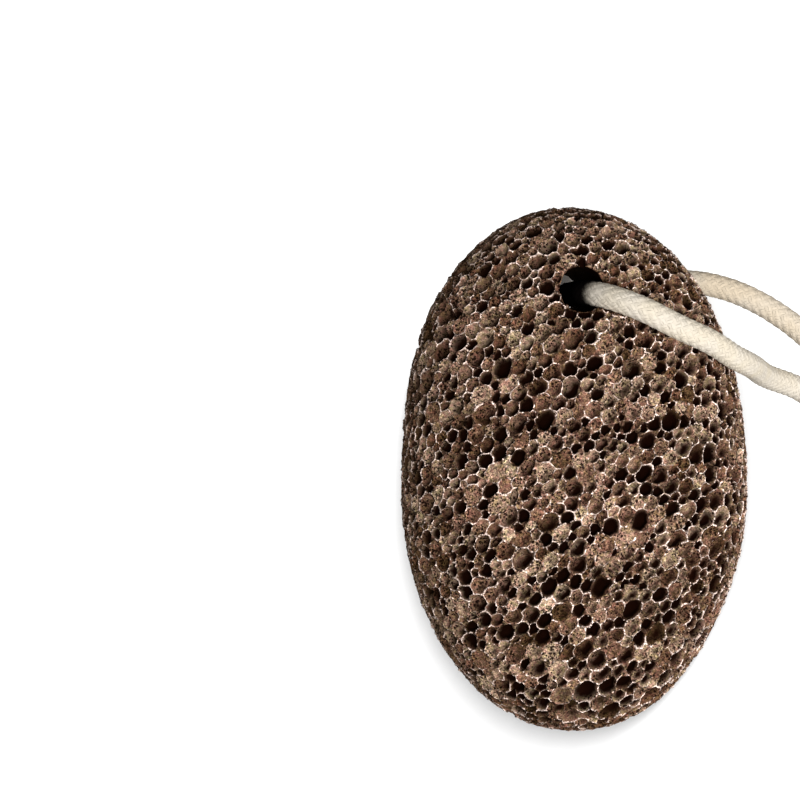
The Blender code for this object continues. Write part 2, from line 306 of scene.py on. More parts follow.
class Value:
    """A node's output. Sums with it add Math nodes to its material."""

    __add__ = __radd__ = math_node("ADD")
    __sub__ = math_node("SUBTRACT")
    __rsub__ = math_node("SUBTRACT", turned_round=True)
    __mul__ = __rmul__ = math_node("MULTIPLY")
    __rpow__ = math_node("POWER", turned_round=True)
    floor = math_node("FLOOR")
    fraction = math_node("FRACT")
    size = math_node("ABSOLUTE")
    at_most = math_node("MINIMUM")
    at_least = math_node("MAXIMUM")
    below = math_node("LESS_THAN")
    wrapped = math_node("WRAP")

    def __init__(self, graph, socket):
        self.graph = graph
        self.socket = socket

    def eased(self, low, high):
        """0 at low and 1 at high, which may be the smaller, with a smooth step between them."""
        if low > high:
            return 1.0 - self.eased(high, low)
        settings = {"interpolation_type": "SMOOTHSTEP"}
        return self.graph.node(
            "ShaderNodeMapRange", settings, {"Value": self, "From Min": low, "From Max": high}
        )


class Graph:
    """The nodes of one material."""

    def __init__(self, name):
        self.material = bpy.data.materials.new(name)
        self.material.use_nodes = True
        self.tree = self.material.node_tree
        self.shader = self.tree.nodes["Principled BSDF"]

    def node(self, kind, settings=None, inputs=None, output=0):
        """Adds a node, sets it up, feeds its sockets, and gives one of its outputs."""
        node = self.tree.nodes.new(kind)
        for name, setting in (settings or {}).items():
            if name == "stops":
                self.set_stops(node.color_ramp.elements, setting)
            else:
                setattr(node, name, setting)
        for socket, value in (inputs or {}).items():
            self.feed(node.inputs[socket], value)
        return Value(self, node.outputs[output])

    def set_stops(self, elements, colours):
        """Spreads colours evenly along a ramp, from the first at 0 to the last at 1."""
        while len(elements) < len(colours):
            elements.new(0.5)
        for index, colour in enumerate(colours):
            elements[index].position = index / (len(colours) - 1)
            elements[index].color = (*colour, 1.0)

    def feed(self, socket, value):
        """Links a value to a socket, or sets the socket to a plain number, vector or colour."""
        if isinstance(value, Value):
            self.tree.links.new(value.socket, socket)
        elif socket.type == "RGBA":
            socket.default_value = (*value, 1.0)
        else:
            socket.default_value = value

    def attribute(self, name):
        """A number that the mesh holds for each of its vertices."""
        return self.node("ShaderNodeAttribute", {"attribute_name": name}, output="Fac")

    def places(self):
        """Where on the object each point is."""
        return self.node("ShaderNodeTexCoord", output="Object")

    def part(self, vector, index):
        """X, Y or Z of a vector, as index is 0, 1 or 2."""
        return self.node("ShaderNodeSeparateXYZ", inputs={0: vector}, output=index)

    def noise(self, size, detail=1.0):
        """Noise whose lumps are about size metres across, from 0 to 1."""
        inputs = {"Vector": self.places(), "Scale": 1 / size, "Detail": detail, "Roughness": 0.6}
        return self.node("ShaderNodeTexNoise", inputs=inputs)

    def cells(self, spacing, output):
        """One cell every spacing metres: the Distance to its middle, or its own Color."""
        inputs = {"Vector": self.places(), "Scale": 1 / spacing}
        return self.node("ShaderNodeTexVoronoi", inputs=inputs, output=output)

    def grains(self, spacing):
        """A number from 0 to 1 that differs between grains, of which spacing metres hold one."""
        return self.node("ShaderNodeSeparateColor", inputs={0: self.cells(spacing, "Color")})

    def pores(self, spacing, share):
        """Round pinpricks, spacing metres apart, each taking up a share of the room it has."""
        return self.cells(spacing, "Distance").eased(share, 0.6 * share)

    def ramp(self, place, colours):
        """A colour read from a row of them, of which the first is at 0 and the last at 1."""
        return self.node("ShaderNodeValToRGB", {"stops": colours}, {0: place})

    def mix(self, share, first, second, blend="MIX"):
        """The first colour where share is 0 and the second where it is 1."""
        settings = {"data_type": "RGBA", "blend_type": blend, "clamp_factor": True}
        inputs = {MIX_SHARE: share, MIX_FIRST: first, MIX_SECOND: second}
        return self.node("ShaderNodeMix", settings, inputs, output=MIX_RESULT)

    def bump(self, height, distance, strength=1.0):
        """A normal from heights between 0 and 1, which stand for 0 to distance metres."""
        inputs = {"Height": height, "Distance": distance, "Strength": strength}
        return self.node("ShaderNodeBump", inputs=inputs)

    def finish(self, colour, roughness, specular, normal=None):
        """Feeds the material's shader."""
        self.feed(self.shader.inputs["Base Color"], colour)
        self.feed(self.shader.inputs["Roughness"], roughness)
        self.feed(self.shader.inputs["Specular IOR Level"], specular)
        if normal is not None:
            self.feed(self.shader.inputs["Normal"], normal)
        return self.material


def lava_material(looks):
    """Porous lava: pale worn ridges, brown bowls of many tints, pinprick pores, and painted shade
    in the depths.
    """
    graph = Graph("porous_lava")
    sunk = graph.attribute("sunk")
    hollow = graph.attribute("hollow")
    fine = graph.noise(0.00040)
    coarse = graph.noise(0.0010, 2.0)
    patch = graph.noise(0.012)
    cluster = graph.noise(0.0030)
    cast = graph.noise(0.0008, 0.0)

    # The bowls' tints, in patches of red, olive and plum.
    tint = graph.attribute("tint") + (coarse - 0.5) * 0.8 + (patch - 0.5) * 0.3
    bowl = graph.ramp(tint, looks.bowl_colours())
    bowl = graph.mix(patch.eased(0.45, 0.62) * 0.45, bowl, looks.red_colour)
    bowl = graph.mix(cast.eased(0.52, 0.70) * 0.8, bowl, looks.olive_cast, "MULTIPLY")
    bowl = graph.mix(cast.eased(0.48, 0.30) * 0.8, bowl, looks.plum_cast, "MULTIPLY")

    # The pale dust on the crests, and the grains, which show less deep inside.
    dust = graph.attribute("ridge") + (fine - 0.5) * 0.8 + (coarse - 0.5) * 0.5
    colour = graph.mix(dust.eased(0.56, 0.98), bowl, looks.ridge_colour)
    grain = graph.grains(looks.grain_spacing) - 0.5
    crystal = graph.grains(1.7 * looks.grain_spacing) - 0.5
    contrast = (1.0 - hollow * 0.65) * looks.speckle
    doublings = (grain + crystal * 0.6) * contrast + (fine - 0.5) * 1.5 - 0.20
    colour = graph.mix(1.0, colour, 2.0**doublings, "MULTIPLY")

    # Painted shade: the pinprick pores in open ground as dark dots, the dark of the depths, and
    # darker low on the stone's sides.
    pore = graph.pores(looks.pore_spacing, 0.40) * cluster.eased(0.40, 0.52)
    small_pore = graph.pores(0.55 * looks.pore_spacing, 0.38) * cluster.eased(0.36, 0.50)
    pore = pore.at_least(small_pore) * sunk.eased(0.75, 0.40)
    colour = graph.mix(pore * 0.95, colour, looks.painted_shade_colour)
    # Painted shade, darker with depth, and dark nearly all over in the hollowest pits.
    depth = sunk * 0.9 + hollow * 0.40 + (fine - 0.5) * 0.20
    colour = graph.mix(depth.eased(0.21, 1.04), colour, looks.painted_shade_colour)
    height = graph.part(graph.places(), 2)
    colour = graph.mix(height.eased(0.030, 0.020) * 0.36, colour, looks.dark_bowl_and_shade_colour)

    relief = fine * 0.5 + coarse * 0.5 - pore
    normal = graph.bump(relief, distance=0.00040)
    return graph.finish(colour, roughness=0.93, specular=0.02, normal=normal)


def cotton_material(looks):
    """Braided cotton: stitches of parallel yarns, read from the piece's UV map.

    The map's two numbers count crossings along the cord and strands round it. Their sum and their
    difference number the strands that lean each way, and a crossing shows the one whose turn it is.
    One attribute paints shade, near black, on the part of the cord inside the hole, and another
    paints warm light on the strand behind, growing away from the knot.
    """
    graph = Graph("braided_cotton")
    crossings = graph.node("ShaderNodeUVMap", {"uv_map": "braid"})
    u, v = graph.part(crossings, 0), graph.part(crossings, 1)
    one, two = v + u, v - u
    turn = (one.floor() + two.floor()).wrapped(2.0, 0.0)
    one_shows = turn.below(0.5)
    across = one.fraction() * one_shows + two.fraction() * (1.0 - one_shows)
    along = two.fraction() * one_shows + one.fraction() * (1.0 - one_shows)
    fibre = graph.noise(0.00030, 2.0)
    wander = graph.noise(0.0012)
    patch = graph.noise(0.006)

    # The strokes are painted shade in the gaps between the yarns of a stitch, which fade at its
    # ends, mixed with the fibres' random tone.
    yarn = (across * looks.yarns + (wander - 0.5) * 0.8).fraction()
    stroke = (yarn - 0.5).size().eased(0.34, 0.50) * (along - 0.5).size().eased(0.50, 0.30)
    stroke = stroke * wander.eased(0.30, 0.52)
    shade = (stroke * 0.55 + (fibre - 0.5) * 0.55).at_least(0.0).at_most(0.75)

    colour = graph.mix(patch.eased(0.35, 0.70), looks.clean_colour, looks.warm_colour)
    # Painted warm light on the strand behind, in patches.
    yellowed = graph.attribute("yellowed") * (patch * 1.2 + 0.2).at_most(1.0)
    colour = graph.mix(yellowed, colour, looks.warm_light_colour)
    colour = graph.mix(shade, colour, looks.gap_shade_colour)
    # Painted shade, near black, on the part of the cord inside the hole.
    soiled = (graph.attribute("soiled") + (fibre - 0.5) * 0.3).eased(0.05, 0.95)
    colour = graph.mix(soiled, colour, looks.hole_shade_colour)
    relief = 1.0 - stroke * 0.7 + (fibre - 0.5) * 0.7
    normal = graph.bump(relief, distance=0.00016, strength=0.8)
    return graph.finish(colour, roughness=0.95, specular=0.05, normal=normal)


# ---------------------------------------------------------------- the stone


def on_form(points):
    """Moves points, given round the stone's middle, along their rays to its smooth convex form.

    With u = ((2x / width)^p + (2y / length)^p)^(1/p), the form is where u^q + (z / rise)^q = 1, and
    q and the rise differ above and below the widest outline.
    """
    rays = unit(points)
    x, y, z = np.abs(rays).T
    above = rays[:, 2] > 0
    fullness = np.where(above, TOP_FULLNESS, BOTTOM_FULLNESS)
    rise = np.where(above, TOP_RISE, BOTTOM_DROP)
    outline = (2 * x / STONE_WIDTH) ** OUTLINE_FULLNESS
    outline += (2 * y / STONE_LENGTH) ** OUTLINE_FULLNESS
    reach = (outline ** (fullness / OUTLINE_FULLNESS) + (z / rise) ** fullness) ** (-1 / fullness)
    return rays * reach[:, None]


def outward(points):
    """Unit normals of the smooth form at points on it, taken from two short steps across it."""
    step = 0.0002
    anywhere = points[:, [1, 2, 0]] + 0.01
    across = unit(np.cross(points, anywhere))
    along = unit(np.cross(points, across))
    one = on_form(points + step * across) - on_form(points - step * across)
    two = on_form(points + step * along) - on_form(points - step * along)
    normals = unit(np.cross(one, two))
    return normals * np.sign(np.sum(normals * points, axis=1, keepdims=True))


def settle(points, proud):
    """Turns places on the form into places on the stone.

    It raises them by proud metres, adds a broad unevenness and the lean of the end with the hole,
    which grows with the cube of the distance, and wears the underside flat on Z = 0.
    """
    x, y, z = (points / STONE_WIDTH).T
    swell = np.sin(7 * x + 3 * y + 1) * np.cos(5 * y - 4 * z) + 0.6 * np.sin(9 * y + 6 * z + 4 * x)
    swell *= SWELL * (points[:, 2] + BOTTOM_DROP) / (TOP_RISE + BOTTOM_DROP)
    settled = points * (1 + (swell + proud) / np.linalg.norm(points, axis=1))[:, None]
    settled[:, 0] -= TOP_LEAN * np.maximum(2 * points[:, 1] / STONE_LENGTH, 0.0) ** 3
    settled[:, 2] = np.maximum(settled[:, 2] + BOTTOM_DROP - WORN_DEPTH, 0.0)
    return settled


def grain_squeeze(amount):
    """A matrix that squeezes space along the grain, so that round cells come back drawn out."""
    grain = level_way(GRAIN_HEADING)
    return np.eye(3) - (1 - 1 / amount) * np.outer(grain, grain)


def underneath(points):
    """0 on the upper face and its edge, and 1 on the underside."""
    return eased(points[:, 2], *UNDERSIDE)


def spread_over_form(count, coarseness, rng):
    """Points spread over the form, evenly on its face and more thinly underneath.

    They are kept from many on an ellipsoid, more of them where it is wide, and of those that would
    be even, only 1 in (1 + coarseness)^2 underneath.
    """
    tries = 16 * count
    half = np.array([STONE_WIDTH, STONE_LENGTH, TOP_RISE + BOTTOM_DROP]) / 2
    rays = unit(rng.standard_normal((tries, 3)))
    room = np.linalg.norm(rays / half, axis=1)
    room /= (1 + coarseness * underneath(rays * half)) ** 2
    kept = rng.random(tries) < room / room.max()
    return on_form((rays * half)[kept][:count])


def packed_sites(looks, rng):
    """The bubbles' middles and radii: discs that push each other apart until they fill the form.

    Each step moves two discs that overlap apart by a share of their overlap. Which discs are near
    each other is looked up again every few steps.
    """
    share, steps_between_lookups, nearby = 0.40, 8, 1.6
    count = looks.pit_count
    sites = spread_over_form(count, looks.coarse_underside, rng)
    radii = np.exp(looks.pit_size_spread * np.clip(rng.standard_normal(count), -2.2, 1.9))
    radii *= 1 - looks.small_end * eased(sites[:, 1], *SMALL_END)
    radii *= 1 + looks.coarse_underside * underneath(sites)
    radii *= looks.pit_radius / radii.mean()
    squeeze = grain_squeeze(looks.pit_stretch)
    release = np.linalg.inv(squeeze)
    reach = 2.2 * radii.max()
    for step in range(looks.packing_steps):
        flat = sites @ squeeze
        if step % steps_between_lookups == 0:
            gaps = np.linalg.norm(flat[:, None, :] - flat[None, :, :], axis=2)
            near = gaps < np.minimum(reach, nearby * (radii[:, None] + radii))
            first, second = np.nonzero(np.triu(near, 1))
        apart = flat[first] - flat[second]
        distance = np.linalg.norm(apart, axis=1)
        overlap = np.maximum(radii[first] + radii[second] - distance, 0.0)
        push = apart * (share * overlap / distance)[:, None]
        moved = flat.copy()
        np.add.at(moved, first, push)
        np.subtract.at(moved, second, push)
        sites = on_form(moved @ release)
    return sites, radii


def joined_sites(sites):
    """The triangles that join neighbouring sites: their convex hull, its edges turned for shape."""
    mesh = bpy.data.meshes.new("sites")
    mesh.from_pydata(sites, [], [])
    hull = bmesh.new()
    hull.from_mesh(mesh)
    bmesh.ops.convex_hull(hull, input=hull.verts)
    bmesh.ops.triangulate(hull, faces=hull.faces)
    bmesh.ops.beautify_fill(hull, faces=hull.faces, edges=hull.edges)
    bmesh.ops.recalc_face_normals(hull, faces=hull.faces)
    hull.to_mesh(mesh)
    hull.free()
    triangles = read(mesh.loops, "vertex_index", kind=np.int32).reshape(-1, 3)
    bpy.data.meshes.remove(mesh)
    return triangles


def half_edges(triangles):
    """For each triangle's three edges, in order: the cell it starts in, its twin and its follower.

    The twin is the same edge the other way round, in the neighbouring triangle. The follower is the
    next edge round the same triangle.
    """
    cell = triangles.ravel()
    head = np.roll(triangles, -1, axis=1).ravel()
    follower = np.roll(np.arange(len(cell)).reshape(-1, 3), -1, axis=1).ravel()
    count = triangles.max() + 1
    key = cell * count + head
    order = np.argsort(key)
    twin = order[np.searchsorted(key[order], head * count + cell)]
    return cell, twin, follower


def foam_net(looks, rng):
    """The net of crests between the bubbles, and each bubble's middle, way out and size.

    Three bubbles meet at each corner of the net. Each edge also has a point near its middle. Seen
    from a bubble, a half-edge stands for the corner where it ends and for the edge's middle, so a
    ring inside the bubbles has two points for each half-edge: first all corners, then all middles.
    """
    sites, radii = packed_sites(looks, rng)
    squeeze = grain_squeeze(looks.pit_stretch)
    triangles = joined_sites(sites @ squeeze)
    cell, twin, follower = half_edges(triangles)
    face = np.arange(len(cell)) // 3
    edges, edge = np.unique(np.minimum(np.arange(len(cell)), twin), return_inverse=True)

    weight = 1 / radii[triangles]
    weight /= weight.sum(axis=1, keepdims=True)
    corners = on_form(np.einsum("fk,fkd->fd", weight, sites[triangles]))
    span = corners[face[edges]] - corners[face[twin[edges]]]
    sideways = np.cross(span, unit(corners[face[edges]]))
    bulge = rng.normal(0.0, looks.crest_wander, len(edges))
    middles = on_form(corners[face[edges]] - span / 2 + sideways * bulge[:, None])
    crest = np.concatenate([corners, middles])
    net = types.SimpleNamespace(cell=cell, twin=twin, follower=follower, face=face, edge=edge)
    net.corner_count, net.edges = len(triangles), edges
    net.crest_normal = outward(crest)
    net.crest = settle(crest, looks.proud)

    net.count = len(sites)
    net.shares = np.bincount(cell, minlength=net.count)
    net.normal = outward(on_form(net_middles(net, corners)))
    net.middle = net_middles(net, net.crest)
    net.ring_cell = np.concatenate([cell, cell])
    net.ring_crest = np.concatenate([face, len(triangles) + edge])
    net.arm = net.crest[net.ring_crest] - net.middle[net.ring_cell]
    net.arm_size = np.linalg.norm(net.arm, axis=1)
    net.oval = np.linalg.norm(net.arm @ squeeze, axis=1)
    net.size = np.bincount(net.ring_cell, net.arm_size) / (2 * net.shares)
    net.oval_size = np.bincount(net.ring_cell, net.oval) / (2 * net.shares)
    return net


def net_middles(net, corners):
    """The mean of each bubble's corners."""
    sums = [np.bincount(net.cell, corners[net.face, i]) for i in range(3)]
    return np.stack(sums, axis=1) / net.shares[:, None]


def pit_depths(net, looks, rng):
    """Which pits are deep, and each pit's depth as a share of its size.

    A broad wave over the stone gathers the deep pits a little. Small pits are deep more often than
    large ones.
    """
    x, y, z = (net.middle / STONE_WIDTH).T
    wave = 0.5 * np.sin(11 * x + 4 * y) * np.sin(9 * y - 7 * z + 1) + 0.5 * np.sin(17 * y + 8 * x)
    draw = rng.random(net.count) + 0.04 * wave
    small, large = eased(net.size, *SMALL_PIT), eased(net.size, *LARGE_PIT)
    deep = draw > 1 - looks.deep_share - 0.12 * small + 0.20 * large
    shallow = (draw < looks.shallow_share) & ~deep
    deep_ratio, plain_ratio, shallow_ratio = (
        rng.uniform(*ratios, net.count) for ratios in (DEEP_RATIO, PLAIN_RATIO, SHALLOW_RATIO)
    )
    return deep, np.where(deep, deep_ratio, np.where(shallow, shallow_ratio, plain_ratio))


def crest_drops(net, depth, looks, rng):
    """How far the crest lies under its place, and which of its corners have a dimple.

    It is uneven all over, it dips at the dimples, and it is broken down between some pits, to a
    share of the shallower one's depth.
    """
    corner_drop = rng.uniform(*CORNER_DROP, net.corner_count)
    dimple = rng.random(net.corner_count) < looks.dimple_share
    corner_drop[dimple] = rng.uniform(*DIMPLE_DROP, dimple.sum())
    edge_drop = rng.uniform(*EDGE_DROP, len(net.edges))
    shallower = np.minimum(depth[net.cell[net.edges]], depth[net.cell[net.twin[net.edges]]])
    broken = rng.random(len(net.edges)) < looks.broken_share
    edge_drop[broken] = (shallower * rng.uniform(*BROKEN_DROP, len(net.edges)))[broken]
    return np.concatenate([corner_drop, edge_drop]), dimple


def lip_scales(net, dimple, looks, rng):
    """Where the lip lies between each bubble's middle, 0, and its crest, 1.

    It leaves the crest its width, and is rounded off towards an oval by another share in each pit.
    """
    half_width = looks.ridge_width / 2 * np.exp(rng.normal(0.0, 0.5, len(net.crest)))
    widened = rng.uniform(0.4, 1.0, dimple.sum()) * looks.dimple_radius
    half_width[: net.corner_count][dimple] += widened
    inside = 1 - half_width[net.ring_crest] / net.arm_size
    oval = looks.lip_fill * net.oval_size[net.ring_cell] / net.oval
    roundness = rng.uniform(0.1, 0.9, net.count)[net.ring_cell]
    scale = np.minimum(inside, roundness * oval + (1 - roundness) * inside)
    return np.clip(scale, 0.50, 0.97)


def pit_shapes(net, looks, rng):
    """Each pit's depth, lean, tint and hollowness, and the places of its crest and lip."""
    deep, ratio = pit_depths(net, looks, rng)
    depth = np.minimum(ratio * net.size, DEEPEST_PIT)
    pits = types.SimpleNamespace(ratio=ratio, depth=depth, steep=eased(ratio, *STEEP_PIT))
    pits.drop, dimple = crest_drops(net, depth, looks, rng)
    pits.lip_scale = lip_scales(net, dimple, looks, rng)

    lean = looks.lean * (net.size * pits.steep)[:, None] * LEAN_WAY
    lean -= np.sum(lean * net.normal, axis=1, keepdims=True) * net.normal
    pits.lean = lean + rng.normal(0.0, FLOOR_WANDER, (net.count, 3)) * net.size[:, None]
    # Painted shade: more on the side that a pit leans to and less on the other, and less so in deep
    # pits.
    painted_lee_shade = looks.painted_lee_shade * np.where(deep, 0.3, 1.0)[net.ring_cell]
    pits.leeward = 1 + painted_lee_shade * (net.arm @ LEAN_WAY) / net.arm_size
    # Deep pits get darker tints and full hollowness, which paint them near black as shade;
    # hollowness also dims the grains.
    pits.tint = np.clip(rng.normal(0.54, 0.28, net.count) - 0.10 * deep, 0.0, 1.0)
    pits.hollow = np.where(deep, 1.1, pits.steep * rng.uniform(0.3, 0.95, net.count))
    return pits


def pit_ring(net, pits, level, rng):
    """The points and attributes of one ring in every pit, level 0 for the lip and 3 for the floor.

    A point lies at middle + scale * (crest - middle) - below * normal. Scale draws the outline in
    and rounds it towards an oval, and below follows a bowl between a shallow saucer and a
    steep-walled hole. Under a broken crest, the edges' middles lie low enough to be inside it.
    """
    half_count = len(net.cell)
    on_floor = level == len(RINGS) - 1
    used = slice(0, half_count if on_floor else 2 * half_count)
    own = net.ring_cell[used]
    size_share, rounding, saucer_share, hole_share, lean_share = RINGS[level]
    rounded = 1 - rounding + rounding * net.oval_size[own] / net.oval[used]
    scale = pits.lip_scale[used] * size_share * np.minimum(rounded, 1.0)
    scale *= 1 + rng.normal(0.0, RING_WANDER if level else 0.0, len(own))
    depth = pits.depth[own]
    below = depth * (saucer_share + (hole_share - saucer_share) * pits.steep[own])
    drop = np.maximum(pits.drop, 0.0)[net.ring_crest[used]]
    broken_to = np.where(np.arange(len(own)) < half_count, 0.0, drop)
    broken_to = np.minimum(broken_to, 0.92 * depth)
    below = np.maximum(below + LEAST_SINK, broken_to + 0.00004)
    below *= 1 + rng.normal(0.0, DEPTH_WANDER if level else 0.0, len(own))
    place = net.middle[own] + net.arm[used] * scale[:, None] + pits.lean[own] * lean_share
    place -= net.normal[own] * below[:, None]
    # Painted shade, darker with depth and on the side that the pit leans to.
    sunk = below / net.size[own] / FULL_DEPTH * pits.leeward[used]
    ridge = (0.0 if level else LIP_DUST) * (1 - eased(drop, *LIP_WORN))
    return place, sunk, ridge, pits.tint[own], pits.hollow[own]


def pitted_surface(looks):
    """The pitted surface's points, faces and attributes.

    From its crest inwards a pit has its lip, its upper wall, its lower wall, its floor, which has
    no points at the edges' middles, and the middle of its floor.
    """
    rng = np.random.default_rng(looks.seed)
    net = foam_net(looks, rng)
    pits = pit_shapes(net, looks, rng)
    crest = net.crest - net.crest_normal * pits.drop[:, None]
    crest[:, 2] = np.maximum(crest[:, 2], 0.0)
    bottom = net.middle + pits.lean - net.normal * (pits.depth + LEAST_SINK)[:, None]

    # Each part has its points and their attributes: painted depth shade, ridge, tint and hollow.
    in_shade, dust = eased(pits.drop, *CREST_SHADED), 1 - eased(pits.drop, *CREST_WORN)
    parts = [(crest, in_shade, dust, np.full(len(crest), 0.6), np.zeros(len(crest)))]
    parts += [pit_ring(net, pits, level, rng) for level in range(len(RINGS))]
    parts.append((bottom, pits.ratio / FULL_DEPTH, np.zeros(net.count), pits.tint, pits.hollow))
    quads, thirds = pit_faces(net, np.cumsum([0] + [len(part[0]) for part in parts]))
    points, *attributes = (np.concatenate(column) for column in zip(*parts))
    return points, quads, thirds, dict(zip(("sunk", "ridge", "tint", "hollow"), attributes))


def pit_faces(net, starts):
    """The faces between the rings, whose points begin at starts.

    There is one sector for each half-edge, from the neighbouring triangle's corner to its own. Its
    far side belongs to the half-edge before it round the bubble, which ends at that corner.
    """
    half_count = len(net.cell)
    near, far = np.arange(half_count), net.follower[net.twin]
    sides_near = [net.face, *(starts[level] + near for level in (1, 2, 3, 4))]
    sides_far = [net.face[net.twin], *(starts[level] + far for level in (1, 2, 3, 4))]
    middles = [net.corner_count + net.edge]
    middles += [starts[level] + half_count + near for level in (1, 2, 3)]
    quads = []
    for level in range(3):
        low = level + 1
        quads.append([sides_far[level], middles[level], middles[low], sides_far[low]])
        quads.append([middles[level], sides_near[level], sides_near[low], middles[low]])
    thirds = [
        [sides_far[3], middles[3], sides_far[4]],
        [middles[3], sides_near[3], sides_near[4]],
        [middles[3], sides_near[4], sides_far[4]],
        [sides_far[4], sides_near[4], starts[5] + net.cell],
    ]
    quads = np.concatenate([np.stack(quad, axis=1) for quad in quads])
    return quads, np.concatenate([np.stack(third, axis=1) for third in thirds])


def hole_cutter():
    """A rough-walled rod for the drilled hole: its radius wavers with its height and angle."""
    angle, height = np.meshgrid(
        np.linspace(0.0, 2 * math.pi, HOLE_SIDES, endpoint=False),
        np.linspace(-CUTTER_OVERRUN, STONE_HEIGHT + CUTTER_OVERRUN, HOLE_RINGS),
    )
    rng = np.random.default_rng(HOLE_SEED)
    radius = HOLE_DIAMETER / 2 * (1 + 0.02 * np.sin(3 * angle + 200 * height) * np.sin(90 * height))
    radius += rng.normal(0.0, HOLE_ROUGHNESS, radius.shape)
    x, y = HOLE_PLACE[0] + radius * np.cos(angle), HOLE_PLACE[1] + radius * np.sin(angle)
    rod = np.stack([x, y, height], axis=2).reshape(-1, 3)
    return closed_tube_mesh("hole_cutter", rod, HOLE_SIDES)


def cut_out(mesh, cutters):
    """The mesh with each cutter's shape taken out of it."""
    body = add_object("stone_body", mesh)
    tools = []
    for cutter in cutters:
        tool = add_object(cutter.name, cutter)
        cut = body.modifiers.new(cutter.name, "BOOLEAN")
        cut.operation = "DIFFERENCE"
        cut.solver = "EXACT"
        cut.object = tool
        tools.append(tool)
    bpy.context.view_layer.update()
    shown = body.evaluated_get(bpy.context.evaluated_depsgraph_get())
    result = bpy.data.meshes.new_from_object(shown)
    for obj in (body, *tools):
        bpy.data.objects.remove(obj)
    return result


def groove_cutter():
    """A plain tube a little thicker than the cord, along its middle part."""
    front, back = strand(FRONT_ROUTE, -1)[0], strand(BACK_ROUTE, 1)[0]
    reach = round(GROOVE_REACH / CURVE_STEP)
    line = evenly(np.concatenate([back[reach:0:-1], front[:reach]]), GROOVE_STEP)
    radius = np.full((len(line), GROOVE_SIDES), CORD_DIAMETER / 2 + CORD_GAP)
    return closed_tube_mesh("groove_cutter", tube_points(line, radius), GROOVE_SIDES)


def stone_mesh(looks):
    """The pitted surface, drilled, and worn to a shallow groove wherever the cord presses on it."""
    points, quads, thirds, attributes = pitted_surface(looks)
    body = new_mesh("stone_body", points, quads, thirds)
    for name, values in attributes.items():
        set_attribute(body, name, values)
    mesh = cut_out(body, [hole_cutter(), groove_cutter()])
    mesh.name = "stone_looks"
    places = read(mesh.vertices, "co", 3)
    # Painted shade: the hole's wall goes near black going in from each mouth.
    outside = np.linalg.norm(places[:, :2] - HOLE_PLACE, axis=1) - HOLE_DIAMETER / 2
    from_mouth = np.minimum(places[:, 2], MOUTH_HEIGHT - places[:, 2])
    bore_shade = eased(outside, *HOLE_WALL) * eased(from_mouth, *HOLE_DARK)
    for name, inside in (("sunk", 1.0), ("ridge", 0.0), ("tint", 0.3), ("hollow", 1.0)):
        values = read(mesh.attributes[name].data, "value")[:, 0]
        set_attribute(mesh, name, values + bore_shade * (inside - values))
    mesh.shade_smooth()
    return mesh


# ---------------------------------------------------------------- the cord


def smooth_curve(points):
    """A natural cubic spline through the points, read every CURVE_STEP along its length.

    Between two points the curve is a cubic in the distance along the chords, and its second
    derivatives come from one linear system that makes it smooth at every point.
    """
    points = np.asarray(points, dtype=float)
    gaps = np.linalg.norm(np.diff(points, axis=0), axis=1)
    knots = np.concatenate([[0.0], np.cumsum(gaps)])
    count = len(points)
    slopes = np.diff(points, axis=0) / gaps[:, None]
    inner = np.arange(1, count - 1)
    system = np.eye(count)
    system[inner, inner - 1] = gaps[:-1]
    system[inner, inner] = 2 * (gaps[:-1] + gaps[1:])
    system[inner, inner + 1] = gaps[1:]
    right = np.zeros((count, 3))
    right[inner] = 6 * np.diff(slopes, axis=0)
    bends = np.linalg.solve(system, right)
    places = np.linspace(0.0, knots[-1], 2 * int(knots[-1] / CURVE_STEP))
    left = np.clip(np.searchsorted(knots, places, side="right") - 1, 0, count - 2)
    gap = gaps[left][:, None]
    after = places[:, None] - knots[left][:, None]
    before = gap - after
    fine = (
        (bends[left] * before**3 + bends[left + 1] * after**3) / (6 * gap)
        + (points[left] / gap - bends[left] * gap / 6) * before
        + (points[left + 1] / gap - bends[left + 1] * gap / 6) * after
    )
    return evenly(fine, CURVE_STEP)


def evenly(line, step):
    """The same line with its points evenly apart, as near to step as its length allows."""
    run = np.concatenate([[0.0], np.cumsum(np.linalg.norm(np.diff(line, axis=0), axis=1))])
    places = np.linspace(0.0, run[-1], max(2, round(run[-1] / step) + 1))
    return np.stack([np.interp(places, run, line[:, i]) for i in range(3)], axis=1)


def knot_turns(side, ahead, outside, up):
    """One strand's turns through the overhand knot, at every third of the points worked out.

    With t from 0 to a full turn, the pair's middle line is at the angle 2t round the ring and at
    the distance ring + turn * cos(3t) from its centre, and its height is -turn * sin(3t), held at
    its lowest on the way in and at its highest on the way out. A strand lies half of STRANDS_APART
    to one side, along the surface of the ring.
    """
    centre = np.array([*KNOT_PLACE, LAID + KNOT_TURN]) - (KNOT_RING + KNOT_TURN) * outside
    t = np.linspace(0.0, 2 * math.pi, 61)[:, None]
    held = np.clip(3 * t, math.pi / 2, 5.5 * math.pi)
    spoke = outside * np.cos(2 * t) + ahead * np.sin(2 * t)
    line = centre + (KNOT_RING + KNOT_TURN * np.cos(3 * t)) * spoke - KNOT_TURN * np.sin(held) * up
    along = unit(np.gradient(line, axis=0))
    away = np.cos(held) * spoke - np.sin(held) * up
    turns = line - side * STRANDS_APART / 2 * unit(np.cross(away, along))
    turns[:, 2] = np.maximum(turns[:, 2], LAID)
    return turns[3:-2:3]


